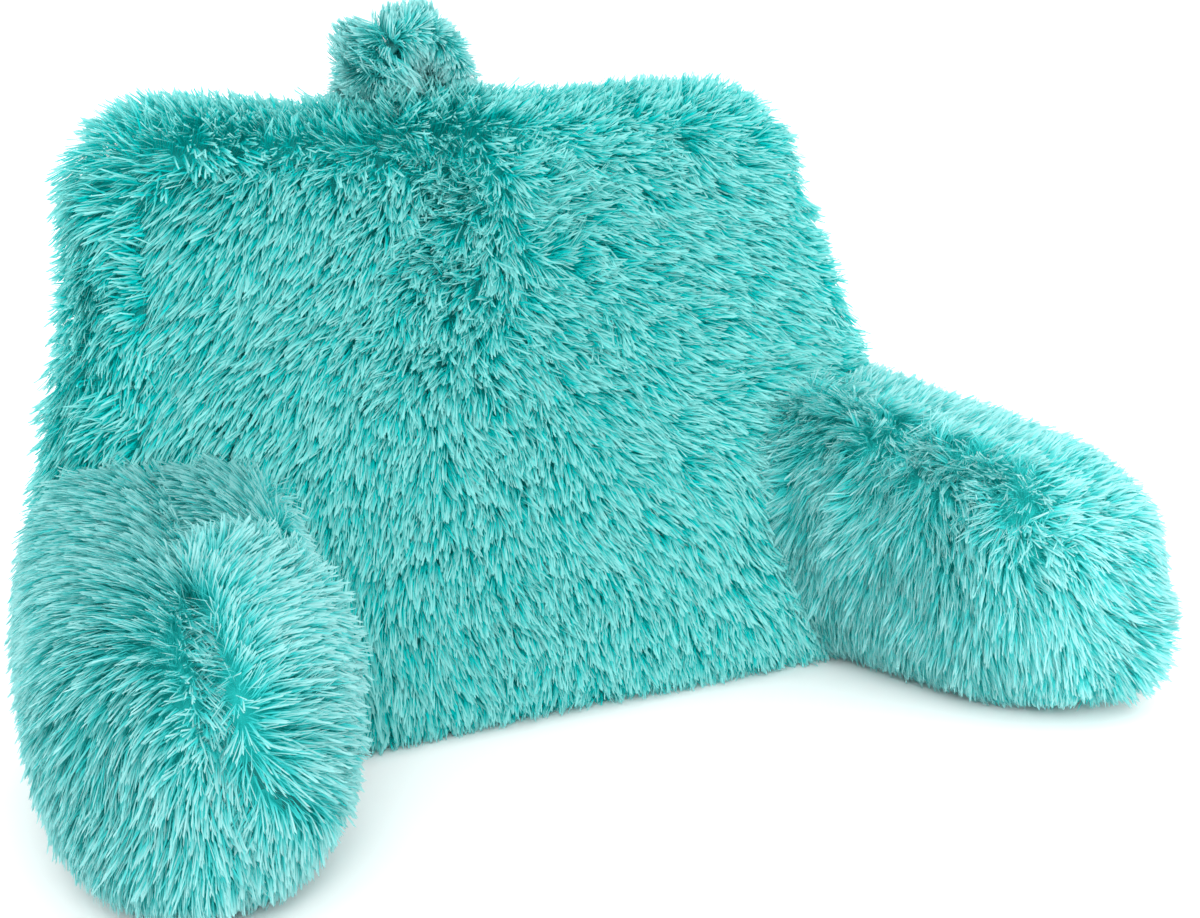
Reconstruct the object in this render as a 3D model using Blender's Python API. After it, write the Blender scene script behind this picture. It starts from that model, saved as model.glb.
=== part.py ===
"""A reading pillow with arms, in long shaggy fur.

The back cushion is a leaning, boxed cushion: a front panel, a boxing strip over its sides and top,
and a rear panel. Each arm is an inner and an outer panel that meet in a seam along its top and down
its nose. A fur-covered loop on top carries it. Every panel is solid with its share of the filling.

Metres, +Z up. The pillow faces -Y, and the origin is under the middle of the boxing strip.
"""
import math

import bmesh
import bpy
from mathutils import Vector, noise

# ---- driving dimensions -------------------------------------------------------------------------
GAP = 0.0003                 # between pieces that touch
ROW_SNAP = 0.001             # points this near a new row stand in for it
CUT_SNAP = 0.00008           # and this near a cut

BACK_HEIGHT = 0.444          # back cushion
BACK_HALF_WIDTHS = ((0.00, 0.384), (0.40, 0.353), (0.75, 0.310), (1.00, 0.288))
BACK_LEAN = 0.155            # how far the front's top edge stands behind its foot
BACK_HOLLOW = 0.018          # how far the middle is set back behind the sides
BACK_BASE_DEPTH = 0.200
BACK_TOP_DEPTH = 0.145
BACK_CORNER = 0.060          # round of the two top corners
BACK_FOOT_ROUND = 0.030
BACK_SQUARENESS = 3.5        # exponent of its level sections
BACK_ASPECT = 4.2            # their width for each unit of depth
BACK_POINTS = 66             # points round each section
BACK_TOP_ROUND = 0.80        # how much of its half depth the top rounds over
BACK_FOOT_DRAW = 0.60        # how much of the round at its foot draws it in
BACK_STRAIGHT = 0.80         # share of its height below the closer sections
BACK_SECTIONS = (15, 10)     # sections below and above that
BACK_TURN = 0.985            # how far round the top the last of them stands
BACK_FOOT_SECTION = 0.4      # one more stands this far up the round of the foot
BACK_TOP_RINGS = (0.66, 0.33)         # rings inside the top's edge
FRONT_Y = -0.085             # foot of the front, so that the origin is under the boxing strip
FRONT_SEAM_INSET = 0.040     # front seam behind the front
REAR_SEAM_INSET = 0.040      # rear seam before the rear

ARM_ROOT = (0.297, -0.040)   # middle of the arm where it leaves the back
ARM_SPLAY = math.radians(14.5)
ARM_LENGTH = 0.240
ARM_TAIL = 0.078             # how far the arm's cut-away root reaches behind ARM_ROOT
ARM_HALF_WIDTH = 0.100
ARM_FLARE = 0.004            # extra width of its outer side at the root
ARM_ROOT_HEIGHT = 0.210
ARM_NOSE_HEIGHT = 0.178
ARM_SQUARENESS = 3.4
ARM_POINTS = 30
ARM_SECTIONS = 8             # sections along the arm, and as many round its nose
ARM_TURN = 0.93              # how far round the nose the last of them stands
ARM_NOSE_START = 0.52        # share of the length where the nose begins to round off
ARM_NOSE_DROP = 0.42         # how much of its height the very tip keeps
ARM_UNDERCUT = 0.14          # how much narrower it is at the floor
ARM_NOSE_KICK = 0.010        # how far the foot of the nose reaches ahead of its middle
ARM_SEAM_INWARD = 0.004      # the seam runs this far inward of the arm's middle at its top
ARM_SEAM_TILT = 0.10         # and this much further inward for each metre down
ARM_SOLE_SINK = 0.010        # flattens the underside on the floor

HANDLE_X = -0.024            # it sits a little left of the middle
HANDLE_Y = 0.150
HANDLE_SPAN = 0.068          # between the middles of its legs
HANDLE_RISE = 0.040          # crown of its middle line above the top of the back
HANDLE_SUNK = 0.020          # how far its feet start below that
HANDLE_THICK = 0.016
HANDLE_WIDTH = 0.038
HANDLE_STEPS = 18
HANDLE_POINTS = 12
HANDLE_SQUARENESS = 2.6
HANDLE_BOW = 0.7             # below 1, its legs stand steeper than a round arch's

SEAM_DEPTH = 0.009           # how far a seam is drawn in
SEAM_WIDTH = 0.016
SEAM_ROWS = (-1.5, -0.7, 0.7, 1.5)    # rows of points beside a seam, in seam widths
TUFT_HEIGHT = 0.0080         # lumps of the pile
TUFT_SIZE = 0.055
LOCK_LENGTH = 0.020          # locks stand out of the seams and noses
LOCK_SPACING = 0.026
LOCK_FOOT = 0.12             # inset of a lock's root in its face, as a share of its inner radius
LOCK_LEAST = 0.0022          # faces narrower than this inner radius grow none
LOCK_TIP = 0.22              # width of a lock's tip against its root
LOCKS_ABOVE = 0.235          # the back has locks above its arms only
HANDLE_CLEAR = 0.080         # and none this near the handle
LOCK_LEVEL = 0.35            # length of a lock on the level top, against one on an upright face
LOCK_VARY = 0.5              # how much locks differ in length
LOCK_STRAY = 0.6             # and in lean
HANDLE_LOCK_LENGTH = 0.026
HANDLE_LOCK_SPACING = 0.0115

AQUA = (0.055, 0.475, 0.462, 1.0)
STRIP_AQUA = (0.150, 0.560, 0.550, 1.0)
ARM_AQUA = (0.120, 0.530, 0.520, 1.0)
HANDLE_AQUA = (0.180, 0.580, 0.565, 1.0)


# ---- helpers --------------------------------------------------------------------------------------
def between(table, share):
    """Value at a share of the way through a short table of (share, value) rows."""
    for (low, first), (high, second) in zip(table, table[1:]):
        if share <= high:
            return first + (second - first) * (share - low) / (high - low)
    return table[-1][1]


def rounding(reach, radius):
    """How far a round of the given radius has drawn in at a reach past its start."""
    reach = min(max(reach, 0.0), radius)
    return radius - math.sqrt(radius * radius - reach * reach)


def superellipse(count, squareness, aspect=1.0):
    """A closed curve about the origin, one unit each way, squarer as the exponent grows.

    Its points stand evenly apart once it is stretched to its aspect.
    """
    fine = 40 * count
    curve = []
    for index in range(fine + 1):
        angle = 2.0 * math.pi * index / fine
        across, along = math.cos(angle), math.sin(angle)
        curve.append((math.copysign(abs(across) ** (2.0 / squareness), across),
                      math.copysign(abs(along) ** (2.0 / squareness), along)))
    lengths = [0.0]
    for (x0, y0), (x1, y1) in zip(curve, curve[1:]):
        lengths.append(lengths[-1] + math.hypot((x1 - x0) * aspect, y1 - y0))
    points = []
    for place, length in zip(curve, lengths):
        if length >= lengths[-1] * len(points) / count and len(points) < count:
            points.append(place)
    return points


def loft(rings):
    """A closed body through rings of equal count, capped at both ends."""
    body = bmesh.new()
    rows = [[body.verts.new(point) for point in ring] for ring in rings]
    for lower, upper in zip(rows, rows[1:]):
        for index in range(len(lower)):
            following = (index + 1) % len(lower)
            body.faces.new((lower[index], lower[following], upper[following], upper[index]))
    body.faces.new(list(reversed(rows[0])))
    body.faces.new(rows[-1])
    bmesh.ops.recalc_face_normals(body, faces=body.faces)
    return body


def split(body, point, normal):
    """Add an edge loop where a plane crosses the body."""
    everything = body.verts[:] + body.edges[:] + body.faces[:]
    bmesh.ops.bisect_plane(body, geom=everything, plane_co=point, plane_no=normal,
                           dist=ROW_SNAP)


def keep_behind(body, point, normal):
    """A copy of the body without what lies in front of a plane, closed along the cut."""
    piece = body.copy()
    everything = piece.verts[:] + piece.edges[:] + piece.faces[:]
    cut = bmesh.ops.bisect_plane(piece, geom=everything, plane_co=point, plane_no=normal,
                                 dist=CUT_SNAP, clear_outer=True)
    rim = [item for item in cut["geom_cut"] if isinstance(item, bmesh.types.BMEdge)]
    bmesh.ops.triangle_fill(piece, edges=rim, use_beauty=True, normal=normal)
    bmesh.ops.recalc_face_normals(piece, faces=piece.faces)
    return piece


def everywhere(place):
    """Full strength at any place on a body."""
    return 1.0


def add_seam_rows(body, point, normal):
    """Rows of points beside a seam, so that it can be drawn in."""
    for share in SEAM_ROWS:
        split(body, point + normal * (share * SEAM_WIDTH), normal)


def draw_in_seam(body, point, normal, strength=everywhere, floor=0.012):
    """Pull the surface in along the line where a plane crosses it."""
    body.normal_update()
    moves = []
    for vert in body.verts:
        distance = (vert.co - point).dot(normal) / SEAM_WIDTH
        clear_of_floor = min(1.0, max(0.0, vert.co.z / floor))
        depth = SEAM_DEPTH * math.exp(-distance * distance) * clear_of_floor * strength(vert.co)
        inward = vert.normal - normal * vert.normal.dot(normal)
        moves.append(inward * -depth)
    for vert, move in zip(body.verts, moves):
        vert.co += move


def raise_tufts(body, seed, strength=everywhere, floor=0.010):
    """Lumps of pile all over a body, longer down the nap than across it."""
    body.normal_update()
    shift = Vector((seed * 7.31, seed * 3.17, seed * 5.53))
    moves = []
    for vert in body.verts:
        place = Vector((vert.co.x, vert.co.y, vert.co.z * 0.5)) / TUFT_SIZE + shift
        coarse = noise.noise(place)
        fine = noise.noise(place * 2.1 + shift)
        clear_of_floor = min(1.0, max(0.0, vert.co.z / floor))
        height = TUFT_HEIGHT * (coarse + 0.9 * fine) * strength(vert.co)
        moves.append(vert.normal * (height * clear_of_floor))
    for vert, move in zip(body.verts, moves):
        vert.co += move
        vert.co.z = max(vert.co.z, 0.0)
    bmesh.ops.triangulate(body, faces=body.faces)


def swell(body, reach):
    """The same body a little larger all round, to cut its neighbours with."""
    grown = body.copy()
    grown.normal_update()
    moves = [vert.normal * (reach * vert.calc_shell_factor()) for vert in grown.verts]
    for vert, move in zip(grown.verts, moves):
        vert.co += move
    return grown


def inner_radius(face):
    """Radius of the largest circle in a three-sided face."""
    return 2.0 * face.calc_area() / sum(edge.calc_length() for edge in face.edges)


def spaced(faces, spacing):
    """Those faces whose middles stand at least a spacing apart, broad faces first."""
    kept = []
    for face in sorted(faces, key=inner_radius, reverse=True):
        middle = face.calc_center_median()
        if all((middle - other).length > spacing for _, other in kept):
            kept.append((face, middle))
    return [face for face, _ in kept]


def grow_locks(body, chosen, spacing, length, nap, level=1.0):
    """Pull a tapering three-sided lock of pile out of chosen faces that stand a spacing apart.

    The nap gives the way that the pile is combed at a place. Locks on level faces are shorter.
    """
    body.normal_update()
    broad = [face for face in body.faces if chosen(face) and inner_radius(face) > LOCK_LEAST]
    for face in spaced(broad, spacing):
        bmesh.ops.inset_individual(body, faces=[face], thickness=inner_radius(face) * LOCK_FOOT)
        tip = bmesh.ops.extrude_discrete_faces(body, faces=[face])["faces"][0]
        middle = tip.calc_center_median()
        vary = noise.noise(middle * 90.0)
        comb = nap(middle)
        comb -= tip.normal * comb.dot(tip.normal)
        reach = (tip.normal + comb * (1.0 + LOCK_STRAY * vary)).normalized()
        reach *= length * (1.0 + LOCK_VARY * vary)
        if level < 1.0:
            reach *= 1.0 - (1.0 - level) * max(0.0, tip.normal.z)
        for vert in tip.verts:
            vert.co = middle + (vert.co - middle) * LOCK_TIP + reach


# ---- the back cushion -----------------------------------------------------------------------------
def back_depth(share):
    return BACK_BASE_DEPTH + (BACK_TOP_DEPTH - BACK_BASE_DEPTH) * share


def back_section(height):
    """Level section of the back cushion: half width, middle y and half depth."""
    share = height / BACK_HEIGHT
    depth = back_depth(share) / 2.0
    top_round = depth * BACK_TOP_ROUND
    foot = rounding(BACK_FOOT_ROUND - height, BACK_FOOT_ROUND) * BACK_FOOT_DRAW
    half_width = between(BACK_HALF_WIDTHS, share)
    half_width -= rounding(height - (BACK_HEIGHT - BACK_CORNER), BACK_CORNER) + foot
    middle = FRONT_Y + BACK_LEAN * share + depth
    depth -= rounding(height - (BACK_HEIGHT - top_round), top_round) + foot
    return half_width, middle, depth


def back_levels():
    """Heights of its sections, closer together where the top rounds over."""
    below, above = BACK_SECTIONS
    levels = [BACK_HEIGHT * BACK_STRAIGHT * index / below for index in range(below + 1)]
    for index in range(1, above + 1):
        turn = 0.5 * math.pi * BACK_TURN * index / above
        levels.append(BACK_HEIGHT * (1.0 - (1.0 - BACK_STRAIGHT) * (1.0 - math.sin(turn))))
    levels.insert(1, BACK_FOOT_ROUND * BACK_FOOT_SECTION)
    return levels


def back_body():
    """The whole back cushion, before its panels are parted."""
    outline = superellipse(BACK_POINTS, BACK_SQUARENESS, BACK_ASPECT)
    rings = []
    for height in back_levels():
        half_width, middle, depth = back_section(height)
        rings.append([(x * half_width, middle + y * depth + BACK_HOLLOW * (1.0 - x * x), height)
                      for x, y in outline])
    half_width, middle, depth = back_section(BACK_HEIGHT)
    for inward in BACK_TOP_RINGS:
        rings.append([(x * (half_width - (1.0 - inward) * depth), middle + y * depth * inward
                       + BACK_HOLLOW * (1.0 - x * x), BACK_HEIGHT) for x, y in outline])
    return loft(rings)


def front_seam():
    """Point and forward normal of the plane of the front seam."""
    normal = Vector((0.0, -BACK_HEIGHT, BACK_LEAN)).normalized()
    return Vector((0.0, FRONT_Y + FRONT_SEAM_INSET, 0.0)), normal


def rear_seam():
    """Point and rearward normal of the plane of the rear seam."""
    rise = BACK_LEAN + BACK_TOP_DEPTH - BACK_BASE_DEPTH
    normal = Vector((0.0, BACK_HEIGHT, -rise)).normalized()
    return Vector((0.0, FRONT_Y + BACK_BASE_DEPTH - REAR_SEAM_INSET, 0.0)), normal


def clear_of_arms(place):
    """0 where an arm lies against the back, 1 away from the arms."""
    above = (place.z - ARM_ROOT_HEIGHT) / 0.025
    inside = (ARM_ROOT[0] - ARM_HALF_WIDTH - 0.02 - abs(place.x)) / 0.025
    return min(1.0, max(0.0, above, inside))


def shaped_back():
    """The back cushion with its seams drawn in and its pile raised."""
    body = back_body()
    for point, normal in (front_seam(), rear_seam()):
        add_seam_rows(body, point, normal)
    for point, normal in (front_seam(), rear_seam()):
        draw_in_seam(body, point, normal, clear_of_arms)
    raise_tufts(body, 1, clear_of_arms)
    return body


def falling_nap(place):
    """Down the panel and away from its middle."""
    return Vector((0.9 * place.x / BACK_HALF_WIDTHS[-1][1], 0.0, -0.6))


def upright_nap(place):
    """Over the sides downwards, and away from the middle along the top."""
    return Vector((0.7 * place.x / BACK_HALF_WIDTHS[-1][1], -0.15, -0.5))


def seam_locks(body, seam, band, nap):
    """Locks in a band beside a seam, round the top and the sides above the arms."""
    point, normal = seam

    def chosen(face):
        middle = face.calc_center_median()
        ahead = (middle - point).dot(normal)
        outer = abs(face.normal.dot(normal)) < 0.72
        clear = middle.z > LOCKS_ABOVE and math.hypot(middle.x - HANDLE_X, middle.y - HANDLE_Y) > HANDLE_CLEAR
        return outer and clear and band[0] < ahead < band[1]

    grow_locks(body, chosen, LOCK_SPACING, LOCK_LENGTH, nap, LOCK_LEVEL)


def back_panels(body):
    """Front panel, boxing strip and rear panel, parted along the seams."""
    front_point, front_normal = front_seam()
    rear_point, rear_normal = rear_seam()
    half_gap = GAP / 2.0
    front = keep_behind(body, front_point + front_normal * half_gap, -front_normal)
    rear = keep_behind(body, rear_point + rear_normal * half_gap, -rear_normal)
    boxing = keep_behind(body, front_point - front_normal * half_gap, front_normal)
    boxing = keep_behind(boxing, rear_point - rear_normal * half_gap, rear_normal)
    seam_locks(front, front_seam(), (0.006, 0.026), falling_nap)
    seam_locks(boxing, front_seam(), (-0.052, -0.010), upright_nap)
    seam_locks(rear, rear_seam(), (0.006, 0.026), falling_nap)
    return front, boxing, rear


# ---- the arms -------------------------------------------------------------------------------------
def arm_axes(side):
    """The arm's root, its direction towards the nose and its outward direction."""
    root = Vector((ARM_ROOT[0] * side, ARM_ROOT[1], 0.0))
    forward = Vector((math.sin(ARM_SPLAY) * side, -math.cos(ARM_SPLAY), 0.0))
    outward = Vector((math.cos(ARM_SPLAY) * side, math.sin(ARM_SPLAY), 0.0))
    return root, forward, outward


def arm_shares():
    """Where its sections stand, as shares of its length, closer together round the nose."""
    tail = -ARM_TAIL / ARM_LENGTH
    shares = [tail + (ARM_NOSE_START - tail) * index / ARM_SECTIONS for index in range(ARM_SECTIONS + 1)]
    for index in range(1, ARM_SECTIONS + 1):
        turn = 0.5 * math.pi * ARM_TURN * index / ARM_SECTIONS
        shares.append(ARM_NOSE_START + (1.0 - ARM_NOSE_START) * math.sin(turn))
    return shares


def arm_body(side):
    """One whole arm, from inside the back cushion to its nose."""
    root, forward, outward = arm_axes(side)
    outline = superellipse(ARM_POINTS, ARM_SQUARENESS)
    rings = []
    for share in arm_shares():
        half_height = (ARM_ROOT_HEIGHT + (ARM_NOSE_HEIGHT - ARM_ROOT_HEIGHT) * share) / 2.0
        past = max(0.0, (share - ARM_NOSE_START) / (1.0 - ARM_NOSE_START))
        keep = math.sqrt(max(0.0, 1.0 - past * past))
        half_width = ARM_HALF_WIDTH * keep
        rise = half_height * (ARM_NOSE_DROP + (1.0 - ARM_NOSE_DROP) * keep)
        ring = []
        for across, up in outline:
            width = half_width * (1.0 - ARM_UNDERCUT * max(0.0, -up))
            if across > 0.0:
                width += ARM_FLARE * max(0.0, 1.0 - 2.0 * max(0.0, share))
            kick = ARM_NOSE_KICK * min(1.0, max(0.0, (share - 0.2) / 0.6)) * -up
            place = root + forward * (share * ARM_LENGTH + kick) + outward * (across * width)
            height = half_height + up * rise
            sunk = height - ARM_SOLE_SINK * (1.0 - height / (2.0 * half_height))
            ring.append((place.x, place.y, max(0.0, sunk)))
        rings.append(ring)
    return loft(rings)


def arm_seam(side):
    """Point and outward normal of the plane of the arm's seam, nearer the lap at its foot."""
    root, forward, outward = arm_axes(side)
    top = root - outward * ARM_SEAM_INWARD + Vector((0.0, 0.0, ARM_NOSE_HEIGHT))
    return top, (outward - Vector((0.0, 0.0, ARM_SEAM_TILT))).normalized()


def shaped_arm(side):
    """One arm with the seam along its top and nose drawn in and its pile raised."""
    body = arm_body(side)
    point, normal = arm_seam(side)
    add_seam_rows(body, point, normal)
    draw_in_seam(body, point, normal)
    raise_tufts(body, 4 + side)
    return body


def nose_locks(body, side):
    """Locks round the nose of one half of an arm, beside its seam and over its rim."""
    root, forward, outward = arm_axes(side)
    seam, across = arm_seam(side)

    def chosen(face):
        middle = face.calc_center_median()
        share = (middle - root).dot(forward) / ARM_LENGTH
        beside = abs((middle - seam).dot(across))
        return share > 0.62 and beside > 0.006 and middle.z > 0.045 and abs(face.normal.dot(outward)) < 0.97

    def nap(place):
        """Away from the seam, forwards and down."""
        away = math.copysign(0.8, (place - seam).dot(across))
        return outward * away + forward * 0.5 - Vector((0.0, 0.0, 0.35))

    grow_locks(body, chosen, LOCK_SPACING, LOCK_LENGTH, nap)


def arm_panels(body, side):
    """Inner and outer panel of an arm, parted along its seam."""
    point, normal = arm_seam(side)
    inner = keep_behind(body, point - normal * (GAP / 2.0), normal)
    outer = keep_behind(body, point + normal * (GAP / 2.0), -normal)
    return inner, outer


# ---- the handle -----------------------------------------------------------------------------------
def handle_line(turn):
    """Middle of the strap at a turn along its arch, and the way out of the arch there."""
    rise = HANDLE_RISE + HANDLE_SUNK
    middle = Vector((HANDLE_X - 0.5 * HANDLE_SPAN * math.cos(turn), HANDLE_Y,
                     BACK_HEIGHT - HANDLE_SUNK + rise * math.sin(turn) ** HANDLE_BOW))
    return middle, Vector((-math.cos(turn), 0.0, math.sin(turn))).normalized()


def handle_body():
    """A strap bent into a low arch with pile on its outside, its feet sunk into the back cushion."""
    outline = superellipse(HANDLE_POINTS, HANDLE_SQUARENESS)
    rings = []
    for index in range(HANDLE_STEPS + 1):
        middle, outward = handle_line(math.pi * index / HANDLE_STEPS)
        ring = []
        for across, along in outline:
            point = middle + outward * (across * HANDLE_THICK / 2.0)
            ring.append(point + Vector((0.0, along * HANDLE_WIDTH / 2.0, 0.0)))
        rings.append(ring)
    body = loft(rings)
    bmesh.ops.triangulate(body, faces=body.faces)
    return body


def handle_locks(body):
    """A fan of pile on the outside of the strap."""
    hub = Vector((HANDLE_X, HANDLE_Y, BACK_HEIGHT))

    def chosen(face):
        middle = face.calc_center_median()
        away = (middle - hub).normalized()
        return middle.z > BACK_HEIGHT + 0.012 and face.normal.dot(away) > 0.35

    def nap(place):
        """A fan that leans a little to each side and upwards."""
        return Vector((2.0 * (place.x - hub.x) / HANDLE_SPAN, 4.0 * (place.y - hub.y) / HANDLE_WIDTH, 0.8)) * 0.5

    grow_locks(body, chosen, HANDLE_LOCK_SPACING, HANDLE_LOCK_LENGTH, nap)


# ---- objects --------------------------------------------------------------------------------------
def material(name, colour, roughness):
    made = bpy.data.materials.new(name)
    made.use_nodes = True
    shader = made.node_tree.nodes["Principled BSDF"]
    shader.inputs["Base Color"].default_value = colour
    shader.inputs["Roughness"].default_value = roughness
    shader.inputs["Metallic"].default_value = 0.0
    made.diffuse_color = colour
    return made


def to_object(name, body, collection, colour):
    mesh = bpy.data.meshes.new(name)
    body.to_mesh(mesh)
    body.free()
    made = bpy.data.objects.new(name, mesh)
    mesh.materials.append(material(name + "_fur", colour, 0.9))
    mesh.shade_smooth()
    mesh.set_sharp_from_angle(angle=math.radians(60.0))
    collection.objects.link(made)
    return made


def drop_offcuts(body):
    """Remove all but the largest of a body's separate parts."""
    waiting = set(body.verts)
    parts = []
    while waiting:
        edge_of_part = [waiting.pop()]
        part = set(edge_of_part)
        while edge_of_part:
            vert = edge_of_part.pop()
            for edge in vert.link_edges:
                other = edge.other_vert(vert)
                if other in waiting:
                    waiting.discard(other)
                    part.add(other)
                    edge_of_part.append(other)
        parts.append(part)
    parts.sort(key=len)
    offcuts = [vert for part in parts[:-1] for vert in part]
    bmesh.ops.delete(body, geom=offcuts, context="VERTS")


def trimmed(body, cutter):
    """The body without what would reach into the back cushion."""
    mesh = bpy.data.meshes.new("untrimmed")
    body.to_mesh(mesh)
    body.free()
    holder = bpy.data.objects.new("untrimmed", mesh)
    bpy.context.scene.collection.objects.link(holder)
    cut = holder.modifiers.new("trim_against_back", "BOOLEAN")
    cut.operation = "DIFFERENCE"
    cut.solver = "EXACT"
    cut.use_self = True
    cut.object = cutter
    graph = bpy.context.evaluated_depsgraph_get()
    result = bmesh.new()
    result.from_object(holder, graph)
    bpy.data.objects.remove(holder, do_unlink=True)
    drop_offcuts(result)
    bmesh.ops.dissolve_degenerate(result, edges=result.edges, dist=CUT_SNAP)
    bmesh.ops.triangulate(result, faces=result.faces)
    return result


def new_collection(name):
    made = bpy.data.collections.new(name)
    bpy.context.scene.collection.children.link(made)
    return made


def main():
    for old in list(bpy.data.objects):
        bpy.data.objects.remove(old, do_unlink=True)
    pieces = new_collection("reading_pillow")
    cutters = new_collection("cutters")

    back = shaped_back()
    envelope = to_object("back_envelope", swell(back, 2.0 * GAP), cutters, AQUA)
    envelope.hide_render = True
    envelope.display_type = "WIRE"

    front, boxing, rear = back_panels(back)
    to_object("backrest_front_panel", front, pieces, AQUA)
    to_object("backrest_boxing_strip", boxing, pieces, STRIP_AQUA)
    to_object("backrest_rear_panel", rear, pieces, AQUA)

    for side, word in ((-1, "left"), (1, "right")):
        inner, outer = arm_panels(shaped_arm(side), side)
        for body, place in ((inner, "inner"), (outer, "outer")):
            panel = trimmed(body, envelope)
            nose_locks(panel, side)
            to_object("arm_%s_%s_panel" % (word, place), panel, pieces, ARM_AQUA)

    handle = trimmed(handle_body(), envelope)
    handle_locks(handle)
    to_object("carry_handle", handle, pieces, HANDLE_AQUA)


main()
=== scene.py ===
"""The looks of a reading pillow with arms, in long shaggy fur.

Each panel is a stuffed cloth form that fills its CAD solid up to the roots of the pile. A short cloth
simulation swells it, and its seams are drawn in after that. Geometry Nodes grow the pile on its
outside as blunt locks, gathered into small tufts and combed the way each part of the pillow is
brushed. The strap of the carry handle is a flat cloth band with pile.

Metres, in the frame of the CAD. Left is -X, and the pillow faces -Y.
"""
import math

import bmesh
import bpy
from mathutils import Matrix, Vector, noise
from mathutils.bvhtree import BVHTree


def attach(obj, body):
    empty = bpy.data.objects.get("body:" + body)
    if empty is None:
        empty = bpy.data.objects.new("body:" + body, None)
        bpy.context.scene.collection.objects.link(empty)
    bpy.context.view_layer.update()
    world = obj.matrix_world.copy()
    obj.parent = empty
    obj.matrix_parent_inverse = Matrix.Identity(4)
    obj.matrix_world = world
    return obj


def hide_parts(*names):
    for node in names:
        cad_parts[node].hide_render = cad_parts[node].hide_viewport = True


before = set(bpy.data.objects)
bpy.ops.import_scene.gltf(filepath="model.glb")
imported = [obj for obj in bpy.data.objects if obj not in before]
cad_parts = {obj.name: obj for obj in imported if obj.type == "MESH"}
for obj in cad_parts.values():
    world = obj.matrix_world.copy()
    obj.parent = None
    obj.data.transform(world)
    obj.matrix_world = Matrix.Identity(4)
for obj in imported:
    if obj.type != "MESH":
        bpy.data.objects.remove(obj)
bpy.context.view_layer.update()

# ---- the form, as the CAD has it ------------------------------------------------------------------
BACK_HEIGHT = 0.444
BACK_HALF_WIDTHS = ((0.00, 0.384), (0.40, 0.353), (0.75, 0.310), (1.00, 0.288))
BACK_LEAN = 0.155            # how far the front's top edge stands behind its foot
BACK_HOLLOW = 0.018          # how far the middle is set back behind the sides
BACK_BASE_DEPTH = 0.200
BACK_TOP_DEPTH = 0.145
BACK_CORNER = 0.060
BACK_FOOT_ROUND = 0.030
BACK_SQUARENESS = 3.5
BACK_SIDES = 120             # points round each level section
BACK_ASPECT = 4.2            # width to depth of a section, to space its points evenly
BACK_STRAIGHT = 0.80         # share of the height below the round of the top
BACK_LOW_RINGS = 26
BACK_TOP_RINGS = 12
FRONT_Y = -0.085
SEAM_INSET = 0.040           # both seams of the back, from its front and from its rear

ARM_ROOT = (0.297, -0.040)
ARM_SPLAY = math.radians(14.5)
ARM_LENGTH = 0.240
ARM_TAIL = 0.078
ARM_HALF_WIDTH = 0.100
ARM_ROOT_HEIGHT = 0.210
ARM_NOSE_HEIGHT = 0.178
ARM_SQUARENESS = 3.4
ARM_NOSE_START = 0.52
ARM_NOSE_DROP = 0.42
ARM_UNDERCUT = 0.14
ARM_NOSE_KICK = 0.010
ARM_SEAM_INWARD = 0.004
ARM_SEAM_TILT = 0.10
ARM_SIDES = 72
ARM_RINGS = 14               # along the straight of an arm, and as many again round its nose

HANDLE_X = -0.024
HANDLE_Y = 0.150
HANDLE_SPAN = 0.068
HANDLE_RISE = 0.040
HANDLE_SUNK = 0.020
HANDLE_BOW = 0.7
STRAP_THICK = 0.005
STRAP_WIDTH = 0.026
STRAP_SQUARENESS = 3.0
STRAP_SIDES = 20
STRAP_RINGS = 36

# ---- cloth ----------------------------------------------------------------------------------------
PILE_ROOM = 0.017            # from the CAD surface in to the cloth that the pile is rooted in
SOLE_ROOM = 0.003            # the pile under the pillow is pressed flat
PIECE_GAP = 0.0006           # between cloth pieces that meet
BACK_SEAM_DEPTH = 0.004
ARM_SEAM_DEPTH = 0.008
SEAM_WIDTH = 0.011
SEAM_ROWS = (-1.6, -0.8, 0.0, 0.8, 1.6)    # rows of points beside a seam, in widths of it
SEAM_FOOT = 0.020            # below this height a seam draws nothing upward
ARM_CLEARANCE = 0.0012       # no pile grows where an arm is this near the back
FILL_VOXEL = 0.009           # size of the cloth's faces while it is filled
FILL_MOVE = 0.002            # how far the filling may push it
FILL_PRESSURE = 4.0
FILL_FRAMES = 20

# ---- pile -----------------------------------------------------------------------------------------
LOCK_WIDTH = 0.0009
LOCK_WIDTHS = (0.65, 1.35)   # narrowest and widest lock, as shares of that
LOCK_SHORTEST = 0.64         # shortest lock, as a share of the length that the pile is brushed to
LOCK_LENGTHS = 0.55          # and how much more of it the longest one has
TUFT_SIZE = 0.0036
TUFT_PULL = 0.72             # share of the way that a tuft's locks lean in to its middle
CLUMP_SIZE = 0.011
CLUMP_PULL = 0.12
STRAY = 0.50                 # how far tousled pile strays
TUFT_LEAN = 1.4
CLUMP_LEAN = 6.0
LOCK_LEAN = 0.14
TUFT_TWIST = 1.2             # how far the locks turn about themselves, in radians
LOCK_TWIST = 0.5
TUFT_SHARE = 0.4             # how much of a lock's length and tone is its tuft's
LEAN_SEED, TWIST_SEED, LENGTH_SEED, WIDTH_SEED, TONE_SEED = 11, 12, 13, 14, 15
ROOT_DEPTH = 0.0015          # roots start this far under the cloth
LOCK_BEND = 0.20             # how far a lock bows outward, for each unit of its length
FLOOR_REST = 0.0006          # pile that meets the floor lies this far above it
FLOOR_CLEAR = 0.055          # below this height the pile is shorter and hangs down
FLOOR_HANG = 0.6             # how much of its comb the pile at the floor gives up to hang down
TONES = 64.0                 # each lock has one of this many tones

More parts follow.
